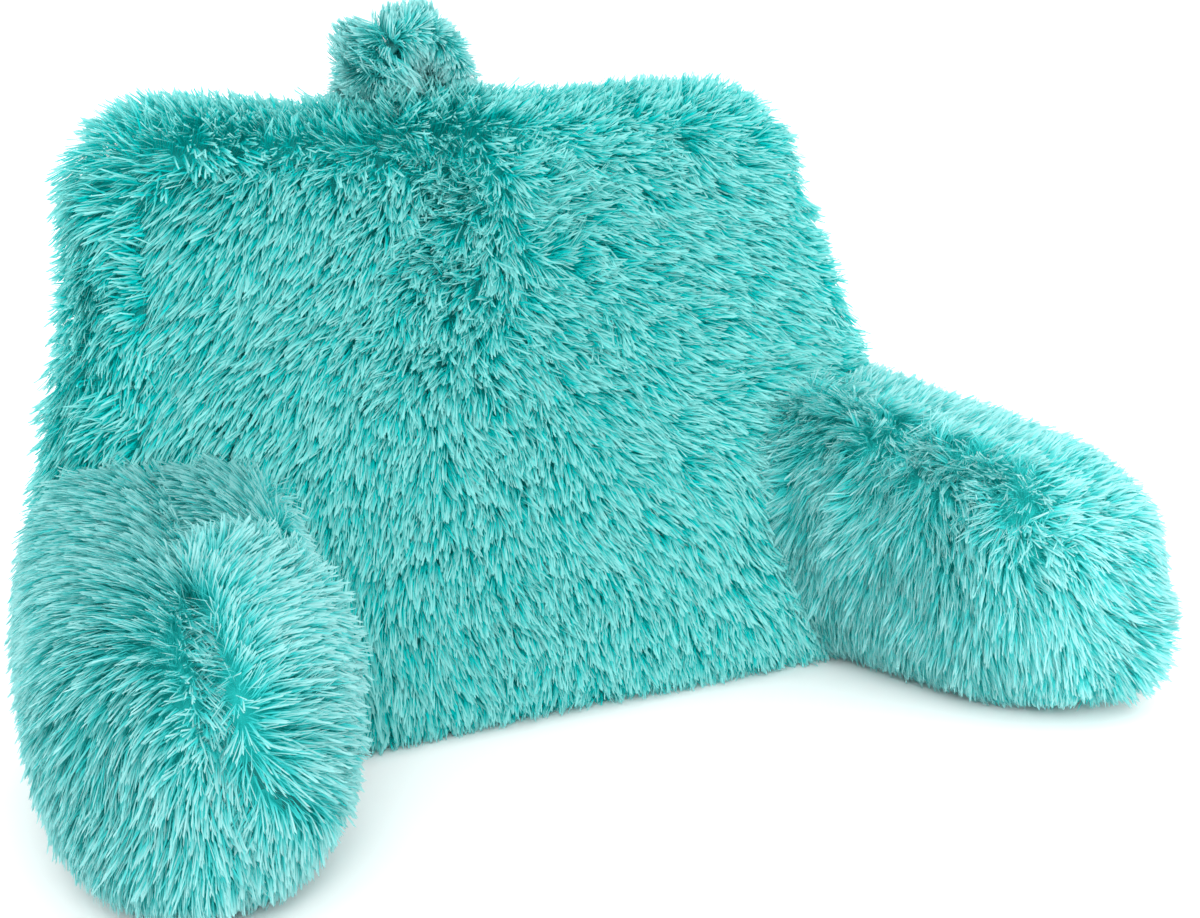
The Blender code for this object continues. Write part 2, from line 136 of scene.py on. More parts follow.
# Locks for each square metre of cloth. Pile that the photograph shows less of has fewer and wider ones.
FRONT_LOCKS = 440000
ARM_LOCKS = 440000
BOXING_LOCKS = 260000
REAR_LOCKS = 100000
HANDLE_LOCKS = 1500000
BOXING_LOCK_WIDTH = 0.0012
REAR_LOCK_WIDTH = 0.0017
ARM_CLUMP_PULL = 0.10
ARM_STRAY = 0.44
SOLE_GROWTH = 0.25           # share of the pile that grows under the pillow
PARTED_GROWTH = 0.10         # and where it is parted down to the cloth
STRAP_FRONT_GROWTH = 2.5     # and on the front of the strap

BACK_FILL = 0.80
ARM_FILL = 0.85

# ---- finishes, light and camera -------------------------------------------------------------------
FUR_THROUGH = 0.50           # share of the light that a fibre lets through
FUR_ROUGHNESS = 0.8
FUR_TONE = 1.1               # how far the tone of a lock shifts its colours along it
# Along a lock the colour runs from a darker root, painted shade deep in the pile, to a pale tip, painted
# light on the outermost fibres.
ROOT_TO_MIDDLE = (0.15, 0.55)
MIDDLE_TO_TIP = (0.64, 1.05)
STREAKS = 5.0                # fine streaks across a lock
KNIT_ROWS, KNIT_LOOPS, KNIT_PATCHES = 260.0, 190.0, 35.0
FLOOR_SIZE = 14.0
WORLD_STRENGTH = 1.58
CAMERA_AZIMUTH = math.radians(29.756)
CAMERA_ELEVATION = math.radians(14.648)
CAMERA_AIM = Vector((-0.1064, -0.2826, 0.2637))
CAMERA_DISTANCE = 1.3351
CAMERA_LENS = 66.69


# ---- numbers --------------------------------------------------------------------------------------
def between(table, share):
    """Value at a share of the way through a short table of (share, value) rows."""
    for (low, first), (high, second) in zip(table, table[1:]):
        if share <= high:
            return first + (second - first) * (share - low) / (high - low)
    return table[-1][1]


def ramp(value, low, high):
    """0 below low, 1 above high and smooth between."""
    share = min(1.0, max(0.0, (value - low) / (high - low)))
    return share * share * (3.0 - 2.0 * share)


def bell(distance, width):
    """1 at no distance, and down to nothing a few widths away."""
    return math.exp(-(distance / width) ** 2)


def rounding(reach, radius):
    """How far a round of the given radius has drawn in at a reach past its start."""
    reach = min(max(reach, 0.0), radius)
    return radius - math.sqrt(radius * radius - reach * reach)


def superellipse(count, squareness, aspect=1.0):
    """A closed curve about the origin, its points evenly apart once it is stretched to its aspect."""
    fine = 40 * count
    curve = []
    for index in range(fine + 1):
        angle = 2.0 * math.pi * index / fine
        across, along = math.cos(angle), math.sin(angle)
        curve.append((math.copysign(abs(across) ** (2.0 / squareness), across),
                      math.copysign(abs(along) ** (2.0 / squareness), along)))
    lengths = [0.0]
    for (x0, y0), (x1, y1) in zip(curve, curve[1:]):
        lengths.append(lengths[-1] + math.hypot((x1 - x0) * aspect, y1 - y0))
    points = []
    for place, length in zip(curve, lengths):
        if length >= lengths[-1] * len(points) / count and len(points) < count:
            points.append(place)
    return points


# ---- cloth forms ----------------------------------------------------------------------------------
def loft(rings):
    """A closed body through rings of equal count, each the same on both sides of its first point."""
    body = bmesh.new()
    rows = [[body.verts.new(point) for point in ring] for ring in rings]
    for lower, upper in zip(rows, rows[1:]):
        for index in range(len(lower)):
            following = (index + 1) % len(lower)
            body.faces.new((lower[index], lower[following], upper[following], upper[index]))
    half = len(rows[0]) // 2
    for row in (rows[0], rows[-1]):
        body.faces.new((row[0], row[1], row[-1]))
        for index in range(1, half - 1):
            body.faces.new((row[index], row[index + 1], row[-index - 1], row[-index]))
        body.faces.new((row[half - 1], row[half], row[half + 1]))
    bmesh.ops.recalc_face_normals(body, faces=body.faces)
    return body


def draw_in(body, room):
    """Move a body's surface in by the depth of the pile, and its sole by much less."""
    body.normal_update()
    moves = []
    for vert in body.verts:
        down = SOLE_ROOM if vert.normal.z < 0.0 else room
        moves.append(Vector((vert.normal.x * room, vert.normal.y * room, vert.normal.z * down)))
    for vert, move in zip(body.verts, moves):
        vert.co -= move
        vert.co.z = max(vert.co.z, SOLE_ROOM)


def filled(body):
    """The body as its filling swells it, by a short cloth simulation."""
    holder = to_object("form", body)
    remesh = holder.modifiers.new("remesh", "REMESH")
    remesh.mode = "VOXEL"
    remesh.voxel_size = FILL_VOXEL
    cloth = plain_mesh(holder, "cloth")
    start = [vert.co.copy() for vert in cloth.data.vertices]
    filling = cloth.modifiers.new("filling", "CLOTH")
    filling.settings.use_pressure = True
    filling.settings.uniform_pressure_force = FILL_PRESSURE
    filling.settings.effector_weights.gravity = 0.0
    filling.collision_settings.use_collision = False
    for moment in range(1, FILL_FRAMES + 1):
        bpy.context.scene.frame_set(moment)
    swollen = plain_mesh(cloth, "swollen")
    bpy.context.scene.frame_set(1)
    for vert, place in zip(swollen.data.vertices, start):
        move = vert.co - place
        vert.co = place + move * min(1.0, FILL_MOVE / max(move.length, 1e-6))
        vert.co.z = max(vert.co.z, SOLE_ROOM)
    result = bmesh.new()
    result.from_mesh(swollen.data)
    bpy.data.objects.remove(swollen, do_unlink=True)
    bmesh.ops.smooth_vert(result, verts=result.verts, factor=0.5, use_axis_x=True, use_axis_y=True,
                          use_axis_z=False)
    return result


def draw_in_seam(body, point, normal, deep):
    """Rows of points beside a seam, drawn into the filling."""
    for share in SEAM_ROWS:
        everything = body.verts[:] + body.edges[:] + body.faces[:]
        bmesh.ops.bisect_plane(body, geom=everything, plane_co=point + normal * (share * SEAM_WIDTH),
                               plane_no=normal, dist=0.001)
    body.normal_update()
    moves = []
    for vert in body.verts:
        depth = deep * bell((vert.co - point).dot(normal), SEAM_WIDTH)
        inward = vert.normal - normal * vert.normal.dot(normal)
        inward.z = max(inward.z, 0.0) if vert.co.z < SEAM_FOOT else inward.z
        moves.append(inward * -depth)
    for vert, move in zip(body.verts, moves):
        vert.co += move


def keep_behind(body, point, normal):
    """A copy of the body without what lies in front of a plane, closed along the cut."""
    piece = body.copy()
    everything = piece.verts[:] + piece.edges[:] + piece.faces[:]
    cut = bmesh.ops.bisect_plane(piece, geom=everything, plane_co=point, plane_no=normal,
                                 dist=0.0001, clear_outer=True)
    rim = [item for item in cut["geom_cut"] if isinstance(item, bmesh.types.BMEdge)]
    bmesh.ops.triangle_fill(piece, edges=rim, use_beauty=True, normal=normal)
    bmesh.ops.recalc_face_normals(piece, faces=piece.faces)
    return piece


def back_section(height):
    """Level section of the back cushion: half width, middle y and half depth."""
    share = height / BACK_HEIGHT
    depth = (BACK_BASE_DEPTH + (BACK_TOP_DEPTH - BACK_BASE_DEPTH) * share) / 2.0
    top_round = depth * 0.8
    foot = rounding(BACK_FOOT_ROUND - height, BACK_FOOT_ROUND) * 0.6
    half_width = between(BACK_HALF_WIDTHS, share)
    half_width -= rounding(height - (BACK_HEIGHT - BACK_CORNER), BACK_CORNER) + foot
    middle = FRONT_Y + BACK_LEAN * share + depth
    depth -= rounding(height - (BACK_HEIGHT - top_round), top_round) + foot
    return half_width, middle, depth


def back_form():
    """The whole back cushion, up to the surface of its pile."""
    outline = superellipse(BACK_SIDES, BACK_SQUARENESS, BACK_ASPECT)
    levels = [BACK_HEIGHT * BACK_STRAIGHT * index / BACK_LOW_RINGS for index in range(BACK_LOW_RINGS + 1)]
    for index in range(1, BACK_TOP_RINGS + 1):
        turn = 0.5 * math.pi * index / BACK_TOP_RINGS
        levels.append(BACK_HEIGHT * (1.0 - (1.0 - BACK_STRAIGHT) * (1.0 - math.sin(turn * 0.985))))
    rings = []
    for height in levels:
        half_width, middle, depth = back_section(height)
        rings.append([(x * half_width, middle + y * depth + BACK_HOLLOW * (1.0 - x * x), height)
                      for x, y in outline])
    half_width, middle, depth = back_section(BACK_HEIGHT)
    for inward in (0.75, 0.5, 0.25):
        rings.append([(x * (half_width - (1.0 - inward) * depth),
                       middle + y * depth * inward + BACK_HOLLOW * (1.0 - x * x), BACK_HEIGHT)
                      for x, y in outline])
    return loft(rings)


def back_seams():
    """Point and outward normal of the planes of the front seam and the rear seam."""
    rise = BACK_LEAN + BACK_TOP_DEPTH - BACK_BASE_DEPTH
    front = (Vector((0.0, FRONT_Y + SEAM_INSET, 0.0)),
             Vector((0.0, -BACK_HEIGHT, BACK_LEAN)).normalized())
    rear = (Vector((0.0, FRONT_Y + BACK_BASE_DEPTH - SEAM_INSET, 0.0)),
            Vector((0.0, BACK_HEIGHT, -rise)).normalized())
    return front, rear


def arm_axes(side):
    """The arm's root, its direction towards the nose and its outward direction."""
    root = Vector((ARM_ROOT[0] * side, ARM_ROOT[1], 0.0))
    forward = Vector((math.sin(ARM_SPLAY) * side, -math.cos(ARM_SPLAY), 0.0))
    outward = Vector((math.cos(ARM_SPLAY) * side, math.sin(ARM_SPLAY), 0.0))
    return root, forward, outward


def arm_form(side):
    """One whole arm, from inside the back cushion to its nose."""
    root, forward, outward = arm_axes(side)
    outline = superellipse(ARM_SIDES, ARM_SQUARENESS)
    tail = -ARM_TAIL / ARM_LENGTH
    shares = [tail + (ARM_NOSE_START - tail) * index / ARM_RINGS for index in range(ARM_RINGS + 1)]
    for index in range(1, ARM_RINGS + 1):
        turn = 0.5 * math.pi * index / ARM_RINGS
        shares.append(ARM_NOSE_START + (1.0 - ARM_NOSE_START) * math.sin(turn * 0.96))
    rings = []
    for share in shares:
        half_height = (ARM_ROOT_HEIGHT + (ARM_NOSE_HEIGHT - ARM_ROOT_HEIGHT) * share) / 2.0
        past = max(0.0, (share - ARM_NOSE_START) / (1.0 - ARM_NOSE_START))
        keep = math.sqrt(max(0.0, 1.0 - past * past))
        rise = half_height * (ARM_NOSE_DROP + (1.0 - ARM_NOSE_DROP) * keep)
        ring = []
        for across, up in outline:
            width = ARM_HALF_WIDTH * keep * (1.0 - ARM_UNDERCUT * max(0.0, -up))
            kick = ARM_NOSE_KICK * min(1.0, max(0.0, (share - 0.2) / 0.6)) * -up
            place = root + forward * (share * ARM_LENGTH + kick) + outward * (across * width)
            ring.append((place.x, place.y, max(0.0, half_height + up * rise)))
        rings.append(ring)
    return loft(rings)


def arm_seam(side):
    """Point and outward normal of the plane of the arm's seam."""
    root, forward, outward = arm_axes(side)
    top = root - outward * ARM_SEAM_INWARD + Vector((0.0, 0.0, ARM_NOSE_HEIGHT))
    return top, (outward - Vector((0.0, 0.0, ARM_SEAM_TILT))).normalized()


def handle_line(turn):
    """Middle of the strap at a turn along its arch, and the way out of the arch there."""
    rise = HANDLE_RISE + HANDLE_SUNK
    middle = Vector((HANDLE_X - 0.5 * HANDLE_SPAN * math.cos(turn), HANDLE_Y,
                     BACK_HEIGHT - HANDLE_SUNK + rise * math.sin(turn) ** HANDLE_BOW))
    return middle, Vector((-math.cos(turn), 0.0, math.sin(turn))).normalized()


def strap_form():
    """A flat cloth band bent into a low arch."""
    outline = superellipse(STRAP_SIDES, STRAP_SQUARENESS, STRAP_THICK / STRAP_WIDTH)
    rings = []
    for index in range(STRAP_RINGS + 1):
        middle, outward = handle_line(math.pi * index / STRAP_RINGS)
        rings.append([middle + outward * (across * STRAP_THICK / 2.0)
                      + Vector((0.0, along * STRAP_WIDTH / 2.0, 0.0)) for across, along in outline])
    return loft(rings)


def to_object(name, body):
    """A mesh object of a body, smooth shaded and in the scene."""
    mesh = bpy.data.meshes.new(name)
    body.to_mesh(mesh)
    made = bpy.data.objects.new(name, mesh)
    bpy.context.scene.collection.objects.link(made)
    mesh.shade_smooth()
    return made


def trimmed(body, cutter):
    """The body without what would reach into another one."""
    holder, knife = to_object("untrimmed", body), to_object("knife", cutter)
    cut = holder.modifiers.new("trim", "BOOLEAN")
    cut.operation = "DIFFERENCE"
    cut.solver = "EXACT"
    cut.use_self = True
    cut.object = knife
    result = bmesh.new()
    result.from_object(holder, bpy.context.evaluated_depsgraph_get())
    for old in (holder, knife):
        bpy.data.objects.remove(old, do_unlink=True)
    return result


# ---- the way the pile is brushed ------------------------------------------------------------------
# Each rule takes a place on the cloth and its normal, and gives the way the pile is combed there,
# how far it is lifted off the cloth in degrees, its length in metres and how tousled it is. A pair of
# numbers is where a zone starts and where it is full.
FRONT_WHORL = Vector((0.022, 0.0, 0.325))    # the pile of the front spreads from here
WHORL_REACH = 0.11
# Across the front, how far the pile is combed aside from straight down, in degrees.
FRONT_COMB = ((-0.32, -30.0), (-0.22, -38.0), (-0.10, -30.0), (-0.03, -12.0), (0.03, 16.0), (0.12, 50.0),
              (0.32, 66.0))
FRONT_LOW = 0.24             # below this height it is combed straighter and straighter
FRONT_CALM = (0.02, 0.16)    # towards the left
FRONT_TOP = (0.36, 0.42)
FRONT_RIM = (0.22, 0.28)
FRONT_LIFT, FRONT_LENGTH, FRONT_TOUSLE = 40.0, 0.029, 0.48
FRONT_BROAD, FRONT_FINE = 0.085, 0.030       # sizes of its swirls

FRINGE = (0.404, 0.416)      # heights where the pile of the boxing strip rises to a fringe
FRINGE_WAVE = 0.045
FRINGE_UNEVEN = 0.005
BOXING_SIDE = (0.6, 0.9)
BOXING_SWIRL = 0.040
CORNER_ACROSS = (0.13, 0.22)
CORNER_UP = (0.34, 0.42)
RIGHT_CORNER = 0.3           # how much of the left corner's long pile the right one has
UNDER_HANDLE = 0.045
BOXING_LIFT, BOXING_LENGTH, BOXING_TOUSLE = 40.0, 0.026, 0.6
MOST_LIFT = 82.0

SPREAD_WIDTH = 0.3           # half width over which pile of the back is combed more and more outward
REAR_LIFT, REAR_LENGTH, REAR_TOUSLE = 42.0, 0.031, 0.5
REAR_SWIRL = 0.07

# Along an arm, zones are shares of its length. Across it, they are distances outward from its seam.
ARM_LIFT, ARM_PILE_LENGTH = 37.0, 0.028
ARM_SWIRL = 0.05

LEFT_BEND_HEIGHT = 0.115     # below this height the left nose's parting bends towards the lap
LEFT_BEND = 0.9
LEFT_PARTING = (-0.003, 0.005)
LEFT_OUTER_NOSE = (0.60, 0.80)
LEFT_LOW = (0.07, 0.145)     # heights below which the inner side's pile has no lip
LEFT_CREST = (-0.078, -0.054)
LIP_SHARE = 0.31             # the pile of the nose ends in a lip that curves over the arm
LIP_MIDDLE = 0.035
LIP_CURVE = 80.0
HUB_SHARES = (0.60, 0.97)    # the pile inside the parting spreads from a line between these
HUB_HEIGHTS = (0.120, 0.175)
BAND_SHARES = (0.56, 0.62)   # a band of short locks is laid across the parting
BAND_HEIGHTS = (0.100, 0.112)
BAND_HALF_WIDTH = 0.0140
BAND_BLEND = 0.0030
BAND_EDGE = 0.018
BAND_SWIRL = 0.014
LEFT_SLIT_SHARES = (0.49, 0.56)
LEFT_SLIT_HEIGHTS = (0.045, 0.105)

RIGHT_NOSE = (0.74, 0.92)
RIGHT_CREST = 0.030
RIGHT_CREST_BLEND = 0.016
TOUSLED_MIDDLE = 0.040
TOUSLED_WIDTH = 0.030
TOUSLED_UP = (0.10, 0.14)
RIGHT_FINE = 0.022
CREASE_INWARD = 0.015
CREASE_SLOPE = 0.5
CREASE_FOOT = 0.04
CREASE_STEP = (-0.003, 0.006)
GROOVE_WIDTH = 0.007
GROOVE_SHARES = (0.86, 0.94)
RIGHT_LOW_SHARES = (0.45, 0.80)


def clamped(value, low, high):
    return min(high, max(low, value))


def swirled(comb, normal, place, size, most):
    """A comb turned about the normal by noise of a given size, by up to about a given angle."""
    turn = noise.noise(place / size) * 2.0 * math.radians(most)
    return comb * math.cos(turn) + normal.cross(comb) * math.sin(turn)


def front_brushing(place, normal):
    """Combed down and outward from a whorl, calmer on the left and tousled along the top."""
    away = Vector((place.x - FRONT_WHORL.x, 0.0, place.z - FRONT_WHORL.z))
    near = bell(away.length, WHORL_REACH)
    calm = ramp(-place.x, *FRONT_CALM)
    top = ramp(place.z, *FRONT_TOP) * (1.0 - 0.7 * calm)
    rim = ramp(-place.x, *FRONT_RIM)
    straight = 0.8 * ramp(FRONT_LOW - place.z, 0.0, 0.20)
    aside = math.radians(between(FRONT_COMB, place.x)) * (1.0 - straight)
    comb = Vector((math.sin(aside), 0.0, -math.cos(aside))) + away.normalized() * (0.8 * near)
    comb = swirled(comb, normal, place, FRONT_BROAD, 14.0 - 8.0 * calm + 24.0 * near + 26.0 * top)
    comb = swirled(comb, normal, place, FRONT_FINE, 12.0 - 5.0 * calm + 22.0 * near + 26.0 * top)
    lift = FRONT_LIFT - 8.0 * calm + 4.0 * near + 6.0 * top - 10.0 * rim
    tousle = FRONT_TOUSLE - 0.14 * calm + 0.24 * near + 0.26 * top
    return comb, lift, FRONT_LENGTH, tousle


def boxing_brushing(place, normal):
    """Combed outward and down the sides and the rear, and standing along the top as a fringe."""
    upright = ramp(place.z, *FRINGE)
    under_handle = bell(place.x - HANDLE_X, UNDER_HANDLE) * upright
    side = ramp(abs(normal.x), *BOXING_SIDE)
    back_way = -0.10 - 0.2 * under_handle - 0.15 * side
    up = 0.3 * upright - 0.7 * (1.0 - upright)
    comb = Vector((0.7 * place.x / SPREAD_WIDTH, back_way, up))
    comb = swirled(comb, normal, place, BOXING_SWIRL, 45.0 - 25.0 * side)
    corner = ramp(abs(place.x), *CORNER_ACROSS) * ramp(place.z, *CORNER_UP)
    corner *= 1.0 if place.x < 0.0 else RIGHT_CORNER
    uneven = FRINGE_UNEVEN * noise.noise(Vector((place.x / FRINGE_WAVE, 0.0, 0.0))) * upright
    lift = BOXING_LIFT + 27.0 * upright + 14.0 * under_handle + 2.0 * corner + 6.0 * side
    length = BOXING_LENGTH + 0.002 * side - 0.004 * upright + 0.018 * under_handle + 0.011 * corner + uneven
    return comb, min(lift, MOST_LIFT), length, BOXING_TOUSLE


def rear_brushing(place, normal):
    """Combed down, and outward towards the sides."""
    comb = swirled(Vector((0.4 * place.x / SPREAD_WIDTH, 0.0, -1.0)), normal, place, REAR_SWIRL, 25.0)
    return comb, REAR_LIFT, REAR_LENGTH, REAR_TOUSLE


def left_arm_brushing():
    """Combed outward over the top, and away from a parted seam all over the round nose."""
    root, forward, outward = arm_axes(-1)
    seam, across = arm_seam(-1)

    def share_and_beside(place):
        """Share of the arm's length, and how far outside the parting a place is."""
        share = (place - root).dot(forward) / ARM_LENGTH
        return share, (place - seam).dot(across) + LEFT_BEND * max(0.0, LEFT_BEND_HEIGHT - place.z)

    def inner_nose_way(place, share):
        """The way out from the line that the pile inside the parting spreads from."""
        hub = seam + forward * (clamped(share, *HUB_SHARES) * ARM_LENGTH)
        hub.z = clamped(place.z, *HUB_HEIGHTS)
        spread = place - hub - forward * (0.10 * ARM_LENGTH)
        return (spread.normalized() - outward * 0.35 + Vector((0.0, 0.0, -0.15))).normalized()

    def outer_nose_way(place, beside):
        by_seam = bell(beside, 0.025)
        way = outward * (0.30 + 0.70 * by_seam)
        way.z = -0.70 + 0.25 * by_seam - 1.1 * ramp(0.17 - place.z, 0.0, 0.10)
        return way.normalized()

    def brushing(place, normal):
        share, beside = share_and_beside(place)
        level = max(0.0, normal.z)
        rim = share - LIP_SHARE - LIP_CURVE * (beside + LIP_MIDDLE) ** 2
        inside = 1.0 - ramp(beside, *LEFT_PARTING)
        lower = 1.0 - ramp(place.z, *LEFT_LOW)
        soft = 0.20 * lower
        nose = ramp(rim, -0.02 - soft, 0.05 + soft) if beside < 0.0 else ramp(share, *LEFT_OUTER_NOSE)
        away = 2.0 * ramp(beside, *LEFT_CREST) - 1.0
        over_top = outward * (away * (0.35 + 0.9 * level)) + Vector((0.0, 0.0, -1.0 + 0.8 * level))
        round_nose = outer_nose_way(place, beside) * (1.0 - inside) + inner_nose_way(place, share) * inside
        comb = over_top.normalized() * (1.0 - nose) + round_nose * nose

        on_band = ramp(share, *BAND_SHARES) * ramp(place.z, *BAND_HEIGHTS)
        band = ramp(BAND_HALF_WIDTH - abs(beside), 0.0, BAND_BLEND) * on_band
        edge = bell(abs(beside) - BAND_EDGE, 0.006) * on_band
        over_seam = across * math.copysign(1.0, -beside) + (forward - Vector((0.0, 0.0, 1.0))) * 0.8
        comb = comb * (1.0 - band) + over_seam * band
        comb = swirled(comb, normal, place, ARM_SWIRL, 14.0)
        comb = swirled(comb, normal, place, BAND_SWIRL, 35.0 * band)

        lip = bell(rim - 0.03, 0.08) * inside * (1.0 - 0.9 * lower)
        behind = bell(rim + 0.12, 0.09) * inside * (1.0 - 0.9 * lower)
        low = inside * nose * ramp(0.15 - place.z, 0.0, 0.05)
        lift = ARM_LIFT + 24.0 * lip * (1.0 - band) - 12.0 * behind - 20.0 * band + 20.0 * edge
        length = ARM_PILE_LENGTH + 0.006 * lip - 0.006 * behind - 0.007 * band - 0.006 * edge + 0.008 * low
        return comb, lift, length, 0.35 + 0.15 * band

    def bare(place):
        """Where the pile is parted so far that the cloth shows; the cloth there takes a darker knit, painted
        shade.
        """
        share, beside = share_and_beside(place)
        on_top = LEFT_SLIT_SHARES[0] < share < LEFT_SLIT_SHARES[1] and abs(beside) < 0.006
        low, high = LEFT_SLIT_HEIGHTS
        on_nose = share > 0.8 and low < place.z < high and abs(beside) < 0.007
        return on_top or on_nose

    return brushing, bare


def right_arm_brushing():
    """Combed outward over the top, tousled along the inner edge and straight down below it."""
    root, forward, outward = arm_axes(1)
    seam, across = arm_seam(1)

    def past_crease(place):
        """How far outside the crease down the nose a place is."""
        return (place - seam).dot(across) + CREASE_INWARD + CREASE_SLOPE * (place.z - CREASE_FOOT)

    def brushing(place, normal):
        share = (place - root).dot(forward) / ARM_LENGTH
        past = past_crease(place)
        level = max(0.0, normal.z)
        nose = ramp(share, *RIGHT_NOSE)
        beside = (place - seam).dot(across)
        tousled = bell(beside + TOUSLED_MIDDLE, TOUSLED_WIDTH) * ramp(place.z, *TOUSLED_UP)
        tousled *= 1.0 - 0.6 * nose
        away = 2.0 * ramp(beside + RIGHT_CREST, -RIGHT_CREST_BLEND, RIGHT_CREST_BLEND) - 1.0
        sideways = 0.10 + 0.9 * level if away > 0.0 else 0.15 + 0.5 * level
        over_top = outward * (away * sideways) + Vector((0.0, 0.0, -1.0 + 0.85 * level))
        over_top += forward * (0.25 * share)
        to_seam = 0.20 + 0.65 * ramp(past, *CREASE_STEP)
        foot = ramp(0.12 - place.z, 0.0, 0.05) * ramp(past, 0.0, 0.02) * nose
        round_nose = outward * (to_seam + 0.8 * foot) + Vector((0.0, 0.0, -1.0 + 0.5 * level))
        comb = over_top.normalized() * (1.0 - nose) + round_nose.normalized() * nose
        comb = swirled(comb, normal, place, ARM_SWIRL, 14.0 + 60.0 * tousled)
        comb = swirled(comb, normal, place, RIGHT_FINE, 8.0 + 45.0 * tousled)

        smooth = level * (1.0 - nose) * (1.0 - tousled)
        groove = bell(past, GROOVE_WIDTH) * ramp(share, *GROOVE_SHARES) * ramp(0.15 - place.z, 0.0, 0.02)
        low = ramp(0.075 - place.z, 0.0, 0.050) * ramp(share, *RIGHT_LOW_SHARES)
        lift = ARM_LIFT + 4.0 * tousled - 7.0 * smooth - 10.0 * groove
        length = ARM_PILE_LENGTH + 0.008 * foot - 0.013 * groove - 0.010 * low
        return comb, lift, length, 0.40 + 0.60 * tousled

    def bare(place):
        """Where the crease shows the cloth; the cloth there takes a darker knit, painted shade."""
        share = (place - root).dot(forward) / ARM_LENGTH
        return share > 0.9 and abs(past_crease(place)) < 0.004 and 0.02 < place.z < 0.14

    return brushing, bare


# The pile of the handle stands in fans: up to which turn along its arch in degrees, the way out
# along X and Z, and the length.
HANDLE_FANS = ((33.0, -1.00, -0.05, 0.030), (56.0, -0.86, 0.50, 0.038), (82.0, -0.10, 1.00, 0.026),
               (108.0, 0.22, 0.98, 0.027), (134.0, 0.78, 0.63, 0.021), (180.0, 1.00, 0.05, 0.021))
HANDLE_BARE_FROM = 152.0        # the right root of the strap shows smooth
HANDLE_NOTCH = (54.0, 60.0)     # and so does its top between two fans
HANDLE_LEAST_LIFT = 12.0
HANDLE_TOUSLE = 0.35
HANDLE_CURL = 0.006             # size of the swirls on the front of the strap


def handle_turn(place):
    """Turn along the arch of the strap, in degrees."""
    rise = (place.z - BACK_HEIGHT + HANDLE_SUNK) / (HANDLE_RISE + HANDLE_SUNK)
    return math.degrees(math.atan2(rise, (HANDLE_X - place.x) / (0.5 * HANDLE_SPAN)))


def handle_brushing(place, normal):
    """Combed out in fans, hanging on the front and into the loop on its inner side."""
    turn = handle_turn(place)
    _, fan_x, fan_z, length = next(row for row in HANDLE_FANS if turn <= row[0])
    radial = Vector((-math.cos(math.radians(turn)), 0.0, math.sin(math.radians(turn))))
    way = Vector((fan_x, 0.0, fan_z)) * 0.8 + radial * 0.15
    inner = max(0.0, -normal.dot(radial))
    front = max(0.0, -normal.y)
    hang = 1.6 * noise.noise(place / HANDLE_CURL) - 0.45 - 0.5 * bell(turn - 105.0, 30.0)
    way = way * (1.0 - front) + (way * hang + Vector((0.0, -0.5, -0.2))) * front
    way = way * (1.0 - inner) + (Vector((0.0, -0.25, 0.0)) - radial * 0.8) * inner
    way = way.normalized() + normal * 0.25
    lift = math.degrees(math.asin(clamped(way.normalized().dot(normal), -1.0, 1.0)))
    return way, max(lift, HANDLE_LEAST_LIFT), length * (1.0 - 0.25 * front), HANDLE_TOUSLE


# ---- Geometry Nodes -------------------------------------------------------------------------------
def add_node(tree, kind, inputs=None, **settings):
    """A node of a tree, with its settings made and its inputs set or linked by name or number."""
    node = tree.nodes.new(kind)
    for key, value in settings.items():
        setattr(node, key, value)
    for key, value in (inputs or {}).items():
        if isinstance(value, bpy.types.NodeSocket):
            tree.links.new(value, node.inputs[key])
        else:
            node.inputs[key].default_value = value
    return node


def math_node(tree, operation, first, second=0.0):
    """One step of arithmetic on numbers or sockets."""
    return add_node(tree, "ShaderNodeMath", {0: first, 1: second}, operation=operation).outputs[0]


def vector_node(tree, operation, first, second=(0.0, 0.0, 0.0), scale=None):
    """One step of arithmetic on vectors or sockets."""
    node = add_node(tree, "ShaderNodeVectorMath", {0: first, 1: second}, operation=operation)
    if isinstance(scale, bpy.types.NodeSocket):
        tree.links.new(scale, node.inputs["Scale"])
    elif scale is not None:
        node.inputs["Scale"].default_value = scale
    return node.outputs["Value" if operation in ("DOT_PRODUCT", "LENGTH") else "Vector"]


def stored(tree, name, kind):
    """An attribute of the cloth or of a lock."""
    return add_node(tree, "GeometryNodeInputNamedAttribute", {"Name": name}, data_type=kind).outputs[0]


def chance(tree, low, high, seed, kind="FLOAT"):
    """A random value for each lock."""
    node = add_node(tree, "FunctionNodeRandomValue", {"Seed": seed}, data_type=kind)
    ends = [socket for socket in node.inputs if socket.name in ("Min", "Max") and socket.enabled]
    ends[0].default_value, ends[1].default_value = low, high
    return next(socket for socket in node.outputs if socket.enabled)


def gathered(tree, place, normal, size, pull):
    """Random numbers shared by the locks of one cell of a given size, and the pull to its middle."""
    scale = math_node(tree, "DIVIDE", 1.0, size)
    cell = add_node(tree, "ShaderNodeTexVoronoi", {"Vector": place, "Scale": scale},
                    voronoi_dimensions="3D", feature="F1")
    inward = vector_node(tree, "SUBTRACT", cell.outputs["Position"], place)
    out_of_cloth = vector_node(tree, "SCALE", normal, scale=vector_node(tree, "DOT_PRODUCT", inward, normal))
    inward = vector_node(tree, "SUBTRACT", inward, out_of_cloth)
    return cell.outputs["Color"], vector_node(tree, "SCALE", inward, scale=pull)


